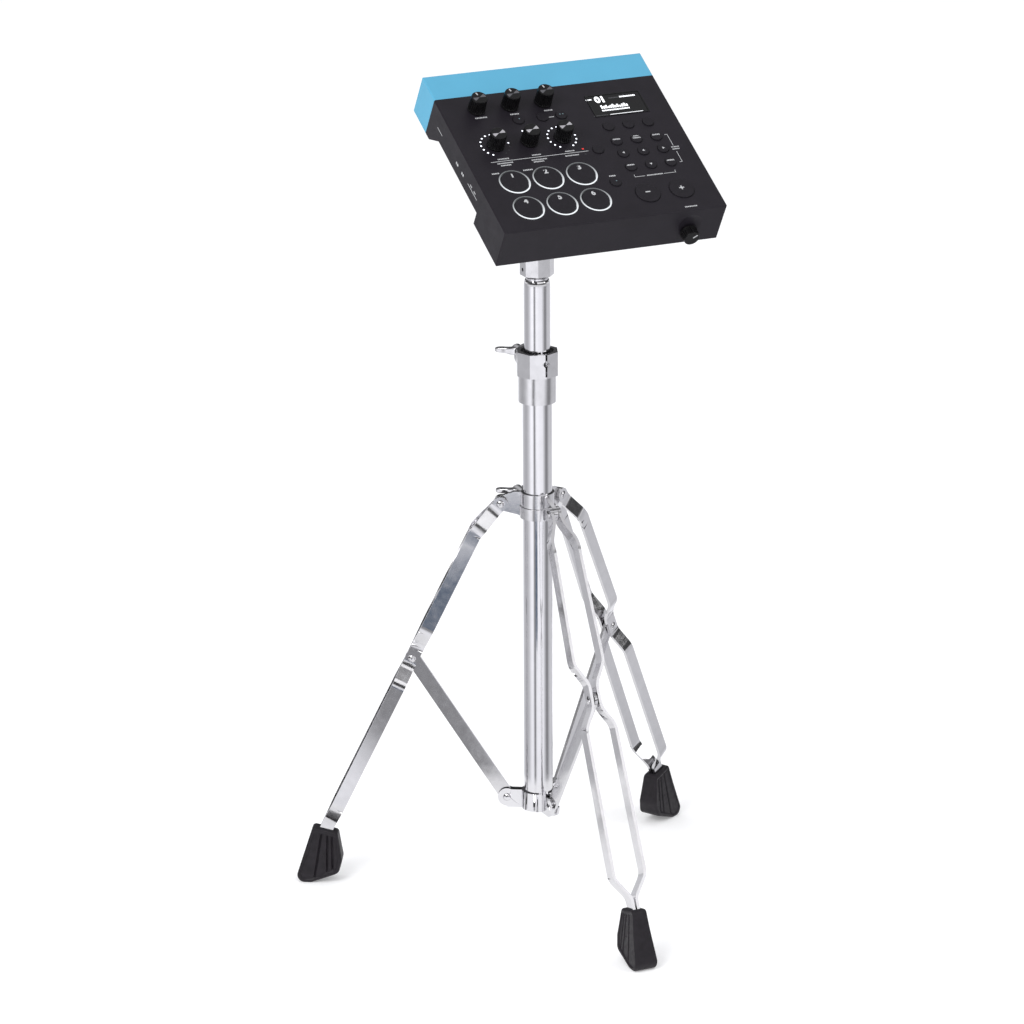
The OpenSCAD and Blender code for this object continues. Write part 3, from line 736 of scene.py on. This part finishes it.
def small_keys():
    for seed, (name, x, y, mark) in enumerate(SMALL_KEYS):
        bm = bmesh.new()
        face = cap_shape(bm, KEY_R)
        low, high = face - 0.1, face + 0.14
        if mark == "lamp":
            lathe(bm, [(0, low), (0.75, low), (0.6, high), (0, high + 0.1)],
                  Matrix.Translation((0.9, 0.8, 0)), segments=16, material=2)
        elif mark == "lamps":
            for shift in (-1.4, 1.6):
                lathe(bm, [(0, low), (0.75, low), (0.6, high), (0, high + 0.1)],
                      Matrix.Translation((shift, 0.6, 0)), segments=16, material=2)
        elif mark == "word":
            text_row(bm, 0, 1.6, 8.2, 1.7, low, high, material=1, seed=seed)
        elif mark == "words":
            text_row(bm, 0, 3.0, 7.6, 1.5, low, high, material=1, seed=seed)
            text_row(bm, 0, 0.4, 8.6, 1.5, low, high, material=1, seed=seed + 50)
        elif mark is not None:
            arrow(bm, mark, low, high, material=1)
        add_piece(name + "_cap", bm, [KEY, PRINT, TEAL_LAMP], name,
                  MODULE @ at(x, y, 0), [name])


def value_keys():
    """The large minus and plus keys."""
    for name, x in (("minus_key", 159.5), ("plus_key", 195)):
        bm = bmesh.new()
        face = cap_shape(bm, VALUE_KEY_R)
        block(bm, 0, 0.6, 5.0, 1.3, face - 0.1, face + 0.1, material=1)
        if name == "plus_key":
            block(bm, 0, 0.6, 1.3, 5.0, face - 0.1, face + 0.11, material=1)
        place = MODULE @ at(x, PAD_ROWS[1], 0)
        add_piece(name + "_cap", bm, [KEY, PRINT], name, place, [name])


def pads():
    """The six pads with their numbers."""
    for k in range(6):
        x = FIRST_COLUMN + k % 3 * PAD_PITCH
        y = PAD_ROWS[k // 3]
        name = f"pad_{k + 1}"
        bm = bmesh.new()
        face = cap_shape(bm, PAD_R)
        letter(bm, str(k + 1), 0, 7.6, 8, face - 0.1, face + 0.12, material=1)
        add_piece(name + "_cap", bm, [KEY, PRINT], name, MODULE @ at(x, y, 0), [name])


def pad_rings():
    """The clear rings round the pads, with a painted glow for the light they catch."""
    bm = bmesh.new()
    low = CASE_H - CASE_WALL
    high = CASE_H + 0.5
    corners = [(RING_INNER, low), (RING_OUTER, low), (RING_OUTER, high, 0.6), (RING_INNER, high, 0.6)]
    loop = rounded(corners, closed=True)
    for y in PAD_ROWS:
        for i in range(3):
            place = Matrix.Translation((FIRST_COLUMN + i * PAD_PITCH, y, 0))
            lathe(bm, loop + [loop[0]], place, segments=96)
    bmesh.ops.remove_doubles(bm, verts=bm.verts, dist=1e-4)
    # The rings carry the painted glow, brightest towards the player.
    add_piece("pad_light_rings", bm, [RING_PAINTED_GLOW], "module", MODULE, ["pad_rings"])


def led_rings():
    """The dots of light round two of the knobs, and the one over the middle knob."""
    bm = bmesh.new()
    count = 15
    dots = [(FIRST_COLUMN + PAD_PITCH - 0.6, LED_RING_Y + 14.2, True)]
    for column, lit in ((0, 12), (2, 15)):
        for i in range(count):
            a = math.radians(241.2 - i * 302.4 / (count - 1))
            x = FIRST_COLUMN + column * PAD_PITCH + 14.1 * math.cos(a)
            dots.append((x, LED_RING_Y + 14.1 * math.sin(a), i < lit))
    for x, y, lit in dots:
        lathe(
            bm,
            [
                (0, CASE_H - 0.3), (0.9, CASE_H - 0.3), (0.9, CASE_H + 0.1),
                (0.65, CASE_H + 0.25), (0, CASE_H + 0.32),
            ],
            Matrix.Translation((x, y, 0)),
            segments=20,
            material=0 if lit else 1,
        )
    add_piece("panel_lamps", bm, [WHITE_LAMP, DARK_LAMP], "module", MODULE)


# Words on the panel: middle across, middle back, length, height
PANEL_WORDS = [
    (36.5, 152.2, 12, 1.7),
    (71.2, 151.9, 9, 1.7),
    (106.5, 151.8, 8.4, 1.7),
    (36.5, 95.2, 11.5, 1.5),
    (36.2, 89.6, 16, 1.5),
    (36.0, 86.6, 10.5, 1.5),
    (71.0, 95.5, 9.2, 1.5),
    (71.3, 89.1, 15.8, 1.5),
    (69.9, 86.4, 10.6, 1.5),
    (105.6, 95.1, 9.4, 1.5),
    (105.6, 89.2, 14, 1.5),
    (21.1, 77.3, 7.3, 1.6),
    (54.6, 77.3, 9.7, 1.6),
    (133.8, 56.3, 6.5, 1.7),
    (194.5, 4.8, 12.6, 1.5),
    (212.2, 84.3, 7.9, 1.4),
    (211.9, 81.4, 7.2, 1.4),
    (176.6, 51.4, 16.7, 1.4),
]

# Lines on the panel: middle across, middle back, length across, length back
PANEL_LINES = [
    (73.2, 92.4, 101.6, 0.6),
    (106.0, 142.6, 5.4, 0.8),
    (161.0, 51.3, 10.6, 0.5),
    (155.8, 52.7, 0.5, 3.2),
    (192.4, 51.3, 12.6, 0.5),
    (198.6, 52.7, 0.5, 3.2),
    (211.0, 94.0, 0.5, 15.6),
    (209.7, 101.7, 3.0, 0.5),
    (211.0, 71.0, 0.5, 14.4),
    (209.7, 63.9, 3.0, 0.5),
]


def panel_prints():
    bm = bmesh.new()
    low, high = CASE_H - 0.1, CASE_H + 0.05
    for seed, (x, y, length, height) in enumerate(PANEL_WORDS):
        text_row(bm, x, y, length, height, low, high, seed=seed)
    for x, y, across, back in PANEL_LINES:
        block(bm, x, y, across, back, low, high)
    for y, material in ((95.9, 1), (88.7, 2)):
        block(bm, 119.6, y, 2.0, 1.6, low, high, material=material)
    add_piece("panel_prints", bm, [PRINT, RED_LAMP, DARK_LAMP], "module", MODULE)


def side_prints():
    """The marks on the left side, over the sockets in the recess."""
    bm = bmesh.new()
    left_side = turn(-90, "Z") @ turn(90, "X")
    low, high = -0.1, 0.05
    for y, length, z in ((158, 12, 25.4), (74.5, 23, 25.9)):
        block(bm, -y, z, length, 0.7, low, high, left_side)
    for y in (113, 99):
        text_row(bm, -y, 25.4, 5, 2.6, low, high, left_side, seed=y)
    for y in (70, 79):
        text_row(bm, -y, 28.8, 4, 1.6, low, high, left_side, seed=y)
    add_piece("side_prints", bm, [PRINT], "module", MODULE)


def display_picture():
    """Generic figures and bars on the display."""
    bm = bmesh.new()
    low, high = CASE_H - 0.05, CASE_H + 0.06
    text_row(bm, 152, 159, 6, 1.6, low, high, seed=3)
    letter(bm, "01", 163.6, 157.6, 11, low, high)
    text_row(bm, 192.8, 158.8, 16.5, 1.8, low, high, seed=5)
    text_row(bm, 174.4, 142.8, 29, 1.8, low, high, seed=8)
    levels = (4.6, 3.4, 4.4, 2.6, 3.6, 4.8, 3.0, 4.2, 2.4, 3.8, 4.6, 3.2)
    for i, level in enumerate(levels):
        block(bm, 161.3 + i * 2.4, 145.4 + level / 2, 1.7, level, low, high)
    text_row(bm, 156, 136.8, 15, 1.0, low, high, material=1, seed=11)
    text_row(bm, 178, 158.6, 10, 1.4, low, high, material=1, seed=12)
    block(bm, 183.3, 136.3, 34.8, 1.3, low, high)
    picture = lamp("picture_white", (0.86, 0.88, 0.9), 0.9)
    faint = lamp("picture_faint", (0.05, 0.05, 0.055), 0.25)
    add_piece("display_picture", bm, [picture, faint], "module", MODULE)


def rear_jacks():
    """The jacks with their threaded bushings, hexagonal nuts and washers."""
    bodies = bmesh.new()
    metal = bmesh.new()
    bore = 3.25
    length = 24
    for i in range(8):
        x = CASE_W / 2 + (i - 3.5) * JACK_PITCH
        place = Matrix.Translation((x, REAR_PANEL_Y, JACK_Z)) @ REAR_FACE
        start = 5 - length
        tube = [(bore, start), (6.4, start), (6.4, -0.2), (4.7, -0.2), (4.7, 4.6), (4.4, 5), (bore, 5)]
        lathe(bodies, tube + [tube[0]], place, segments=32)
        for corner in (-1, 1):
            block(bodies, corner * 5.4, 0, 4.2, 13, start, -0.2, place)
        washer = [(4.75, 2), (6.2, 2), (6.2, 2.6), (4.75, 2.6)]
        lathe(metal, washer + [washer[0]], place, segments=40)
        nut = rounded([(4.75, 2.6), (5.9, 2.6), (5.9, 3.9, 0.4), (5.3, 4.2, 0.3), (4.75, 4.2)])
        lathe(metal, nut + [nut[0]], place @ turn(30, "Z"), segments=6)
    face = 9.2
    shell = 0.6
    for start, foot, width, height in SIDE_SOCKETS:
        middle = start + width / 2
        for low in (foot, foot + height - shell):
            block(metal, face + 7, middle, 14, width, low, low + shell)
        for edge in (start, start + width - shell):
            block(metal, face + 7, edge + shell / 2, 14, shell, foot, foot + height)
        block(bodies, face + 12, middle, 4, width - 2 * shell, foot + shell, foot + height - shell)
        tongue = foot + height / 2
        block(bodies, face + 7, middle, 8, width * 0.55, tongue - 0.4, tongue + 0.4)
    bmesh.ops.remove_doubles(bodies, verts=bodies.verts, dist=1e-4)
    bmesh.ops.remove_doubles(metal, verts=metal.verts, dist=1e-4)
    add_piece("socket_bodies", bodies, [SOCKET], "module", MODULE, ["jack_sockets"])
    add_piece("socket_nuts", metal, [NICKEL], "module", MODULE)


# ---------- the stand's details ----------


def cut_pocket(piece, size, place):
    """Cuts a box, in millimetres, out of a piece."""
    bm = bmesh.new()
    block(bm, size[0] / 2, 0, size[0], size[1], -size[2] / 2, size[2] / 2)
    bm.transform(place @ Matrix.Scale(MM, 4))
    mesh = bpy.data.meshes.new("cutter")
    bm.to_mesh(mesh)
    bm.free()
    cutter = bpy.data.objects.new("cutter", mesh)
    bpy.context.scene.collection.objects.link(cutter)
    cut = piece.modifiers.new("pocket", "BOOLEAN")
    cut.operation = "DIFFERENCE"
    cut.solver = "EXACT"
    cut.object = cutter
    bpy.context.view_layer.update()
    done = bpy.data.meshes.new_from_object(piece.evaluated_get(bpy.context.evaluated_depsgraph_get()))
    piece.modifiers.clear()
    piece.data = done
    done.shade_smooth()
    done.set_sharp_from_angle(angle=math.radians(32))
    bpy.data.objects.remove(cutter)
    bpy.data.meshes.remove(mesh)


def smooth_step(low, high, value):
    t = min(1, max(0, (value - low) / (high - low)))
    return t * t * (3 - 2 * t)


# The channels in a foot's side: distance from the column at the top and at the bottom
FOOT_CHANNELS = [(205.6, 205.0), (210.2, 210.6), (216.8, 222.4)]


def foot_relief(point, edge):
    """A raised border round a sunk side with three channels that fan out downwards."""
    sunk = 1.0 * smooth_step(1.2, 2.4, edge)
    down = (46 - point.y) / 36
    for top, bottom in FOOT_CHANNELS:
        off = abs(point.x - (top + (bottom - top) * down))
        sunk += 1.6 * (1 - smooth_step(0.3, 1.2, off)) * smooth_step(2.2, 4.2, edge)
    return sunk


def foot_half_thickness(point):
    up = (point.y - FOOT_FLAT_Z) / (FOOT_TOP_Z - FOOT_FLAT_Z)
    return 12 - 4.5 * min(1, max(0, up))


def feet():
    """The rubber feet, each with a socket for its leg's strips."""
    circles = [circle_path(r, 64, (x, z)) for x, z, r in FOOT_CORNERS]
    outline = even_steps(wrap([p for c in circles for p in c]), 132)
    centre = Vector((214, 28))
    for name, azimuth in LEG_AZIMUTHS.items():
        bm = bmesh.new()
        moulded_plate(bm, outline, centre, foot_half_thickness, 2.2, foot_relief, rings=30)
        place = leg_plane(azimuth)
        foot = add_piece(
            f"{name}_foot_rubber", bm, [RUBBER], f"{name}_leg", place, [f"{name}_foot"]
        )
        cut_pocket(foot, (30, 8.1, 13.8), place @ at(208.9, 0, 60.3) @ turn(90 - LEG_SLOPE, "Y"))


def smooth_closed(points, steps=6):
    """A closed curve through points."""
    count = len(points)
    path = []
    for i in range(count):
        a, b, c, d = (Vector(points[(i + k) % count]) for k in (-1, 0, 1, 2))
        for k in range(steps):
            t = k / steps
            path.append(0.5 * (2 * b + (c - a) * t + (2 * a - 5 * b + 4 * c - d) * t * t
                               + (3 * b - a - 3 * c + d) * t ** 3))
    return path


# One wing of a wing bolt: across, and along from the root
WING = [
    (1.5, 0), (5.5, 2.2), (10.5, 8), (15.8, 12.6), (18.9, 16.2),
    (17.8, 19.4), (13.6, 19.6), (8.8, 15.4), (4.6, 11), (1.5, 9),
]


def wing_bolt(name, body, place, shank_start, reach):
    """A cast wing bolt along Y: shank, cone-shaped boss and two smooth wings."""
    root = reach - 20
    bm = bmesh.new()
    along = turn(-90, "X")
    shank_end = root - 5
    shank = [
        (0, shank_start), (2.7, shank_start), (2.95, shank_start + 0.4),
        (2.95, shank_end), (0, shank_end),
    ]
    lathe(bm, shank, along, segments=32)
    boss = [
        (0, root - 6), (4.3, root - 6, 0.5), (4.7, root - 4, 0.8),
        (6.2, root + 8.6, 1.5), (5.4, root + 9.8, 1.4), (0, root + 10),
    ]
    lathe(bm, rounded(boss), along, segments=48)
    for side in (1, -1):
        curve = smooth_closed([Vector(p) for p in WING])
        outline = [Vector((side * x, root + y)) for x, y in curve]
        tip = Vector((side * 18, root + 17))

        def half_thickness(point):
            return 1.8 + 1.5 * min(1, (point - tip).length / 16)

        moulded_plate(bm, outline, Vector((side * 9.5, root + 10.5)), half_thickness, 1.2,
                      lambda point, edge: 0.0, turn(-90, "X"), rings=6)
    add_piece(f"{name}_cast", bm, [CAST], body, place, [name])


def wing_bolts():
    height_place = Matrix.Translation(COLUMN) @ at(0, 0, HEIGHT_BOLT_Z)
    hub_place = Matrix.Translation(COLUMN) @ at(0, 0, HUB_BOLT_Z)
    wing_bolt("height_wing_bolt", "height_bolt", height_place, 17, 58)
    wing_bolt("hub_wing_bolt", "hub_bolt", hub_place, 14.8, 58)
    wing_bolt("tilter_wing_bolt", "tilter_bolt", Matrix.Translation(HINGE) @ turn(-90, "Z"), -14, 42)


# ---------- studio ----------


def camera():
    """A long lens from the left, a little above the module."""
    data = bpy.data.cameras.new("Camera")
    data.lens = 179.86
    data.sensor_width = 36
    data.clip_start = 0.1
    data.clip_end = 200
    holder = bpy.data.objects.new("Camera", data)
    eye = (-2.0168, -4.2077, 1.9496)
    yaw, pitch, roll = 25.018, 18.294, 0.262
    aim = turn(-yaw, "Z") @ turn(90 - pitch, "X") @ turn(-roll, "Z")
    holder.matrix_world = Matrix.Translation(eye) @ aim
    bpy.context.scene.collection.objects.link(holder)
    bpy.context.scene.camera = holder


def stage_object(name, bm, material):
    mesh = bpy.data.meshes.new(name)
    bm.to_mesh(mesh)
    bm.free()
    mesh.materials.append(material)
    obj = bpy.data.objects.new(name, mesh)
    bpy.context.scene.collection.objects.link(obj)
    return obj


def floor():
    bm = bmesh.new()
    reach = 60
    signs = ((-1, -1), (1, -1), (1, 1), (-1, 1))
    bm.faces.new([bm.verts.new((x * reach, y * reach, 0)) for x, y in signs])
    pale = Surface("pale_floor", (0.86, 0.86, 0.86), 0.9, specular=0.1)
    stage_object("Floor", bm, pale.mottle(900, 0.01).glow((1, 1, 1), 0.2).material)


# What the chrome sees on the floor, by direction: degrees from +X, and how pale the floor is there
FLOOR_FIELDS = [
    (-180, 0.75), (-170, 0.95), (-155, 1.0), (-148, 0.8), (-143, 0.28), (-134, 0.28), (-128, 0.85),
    (-120, 1.0), (-75, 1.0), (-60, 0.6), (-48, 0.28), (-34, 0.28), (-22, 0.6), (0, 0.75), (15, 0.65),
    (36, 0.95), (90, 0.9), (112, 0.65), (130, 0.55), (150, 0.5), (168, 0.6), (180, 0.75),
]


def gloss_only(card):
    card.visible_camera = False
    card.visible_diffuse = False
    card.visible_shadow = False
    card.visible_transmission = False


def gloss_card(name, start, end, inner, outer, surface):
    """A card round the column between two (distance, height) rims, seen only in reflections."""
    bm = bmesh.new()
    steps = max(8, round((end - start) / 4))
    turns = [math.radians(start + (end - start) * k / steps) for k in range(steps + 1)]
    rims = [
        [bm.verts.new(Vector((r * math.cos(a), r * math.sin(a), z))) for a in turns]
        for r, z in (inner, outer)
    ]
    skin(bm, rims, closed_ring=False)
    card = stage_object(name, bm, surface.material)
    card.location = COLUMN
    gloss_only(card)


def gloss_cards():
    """Pale and dark fields for the chrome to show, as a photographer's cards do."""
    fields = Surface("floor_fields", (0.9, 0.9, 0.9), 0.95, specular=0)
    direction = fields.nodes.new("ShaderNodeTexGradient")
    direction.gradient_type = "RADIAL"
    ramp = fields.nodes.new("ShaderNodeValToRGB")
    set_stops(ramp, [(0.5 + degrees / 360, level) for degrees, level in FLOOR_FIELDS])
    fields.links.new(fields.coordinates, direction.inputs["Vector"])
    fields.links.new(direction.outputs["Fac"], ramp.inputs["Fac"])
    fields.links.new(ramp.outputs["Color"], fields.shader.inputs["Base Color"])
    gloss_card("floor_fields", -180, 180, (0.3, 0.003), (5, 0.003), fields)
    slate = Surface("slate_card", (0.12, 0.15, 0.20), 0.95, specular=0).mottle(80, 0.1)
    gloss_card("slate_card", -134, -117, (0.72, 0.006), (1.2, 0.006), slate)
    white = Surface("front_card", (0.9, 0.9, 0.9), 0.95, specular=0).mottle(200, 0.05)
    white = white.glow((1, 1, 1), 0.35)
    gloss_card("front_card", -112, -56, (3, 1.0), (3, 2.0), white)


def soft_light(name, place, aim, size, power):
    data = bpy.data.lights.new(name, "AREA")
    data.shape = "DISK"
    data.size = size
    data.energy = power
    holder = bpy.data.objects.new(name, data)
    holder.location = place
    holder.rotation_euler = (Vector(aim) - Vector(place)).to_track_quat("-Z", "Y").to_euler()
    bpy.context.scene.collection.objects.link(holder)


def studio_world():
    """Even pale light for matt surfaces; gloss sees a dark room with a soft light overhead."""
    world = bpy.data.worlds.new("Studio")
    bpy.context.scene.world = world
    world.use_nodes = True
    nodes = world.node_tree.nodes
    links = world.node_tree.links
    nodes.clear()
    coordinates = nodes.new("ShaderNodeTexCoord")
    split = nodes.new("ShaderNodeSeparateXYZ")
    ramp = nodes.new("ShaderNodeValToRGB")
    height = nodes.new("ShaderNodeMapRange")
    height.inputs["From Min"].default_value = -1
    height.inputs["From Max"].default_value = 1
    set_stops(ramp, [
        (0.0, 0.8), (0.49, 0.8), (0.505, 0.30), (0.53, 0.07), (0.72, 0.08), (0.80, 0.5), (0.88, 0.95),
        (0.96, 0.42), (1.0, 0.36),
    ])
    links.new(coordinates.outputs["Generated"], split.inputs["Vector"])
    links.new(split.outputs["Z"], height.inputs["Value"])
    links.new(height.outputs["Result"], ramp.inputs["Fac"])
    plain = nodes.new("ShaderNodeBackground")
    plain.inputs["Color"].default_value = (0.97, 0.975, 1.0, 1)
    plain.inputs["Strength"].default_value = 0.92
    glossy = nodes.new("ShaderNodeBackground")
    links.new(ramp.outputs["Color"], glossy.inputs["Color"])
    rays = nodes.new("ShaderNodeLightPath")
    mix = nodes.new("ShaderNodeMixShader")
    output = nodes.new("ShaderNodeOutputWorld")
    links.new(rays.outputs["Is Glossy Ray"], mix.inputs["Fac"])
    links.new(plain.outputs["Background"], mix.inputs[1])
    links.new(glossy.outputs["Background"], mix.inputs[2])
    links.new(mix.outputs["Shader"], output.inputs["Surface"])


def studio():
    bpy.context.scene.view_settings.view_transform = "Standard"
    floor()
    studio_world()
    soft_light("Key", (-2.4, -1.4, 2.6), (0, 0, 0.4), 1.8, 60)
    soft_light("Fill", (2.6, -2.2, 2.2), (0, 0, 0.5), 1.6, 18)
    gloss_cards()


camera()
studio()
finish_nodes()
top_knobs()
phones_knob()
small_keys()
value_keys()
pads()
pad_rings()
led_rings()
panel_prints()
side_prints()
display_picture()
rear_jacks()
feet()
wing_bolts()
